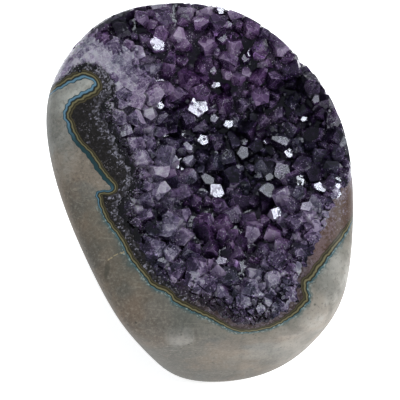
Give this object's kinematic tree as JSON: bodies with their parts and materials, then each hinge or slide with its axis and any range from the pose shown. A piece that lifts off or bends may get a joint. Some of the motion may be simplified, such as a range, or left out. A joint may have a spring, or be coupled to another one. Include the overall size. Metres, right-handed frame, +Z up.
{
  "type": "amethyst druse",
  "caption": "Ground and polished piece of a geode wall with an open hollow of amethyst points inside a banded agate rim, standing on a sawn base.",
  "frame": {"origin": "on the sawn base, under the middle of the stone", "axes": "+Z up from the sawn base, -Y towards the side that the druse faces, +X to the right seen from there"},
  "size_m": [0.1001, 0.1053, 0.1014],
  "materials": {
    "basalt": "ground and satin polished grey basalt with fine dark specks, brownish towards the base",
    "agate": "polished banded agate: teal outside, then tan and olive, then smoky dark chalcedony",
    "amethyst": "clear violet quartz with sharp flat faces, paler at the rim and near black in the hollow"
  },
  "bodies": {
    "root": {"basalt_matrix": "basalt", "agate_lining": "agate", "amethyst_crust": "amethyst"}
  },
  "joints": []
}
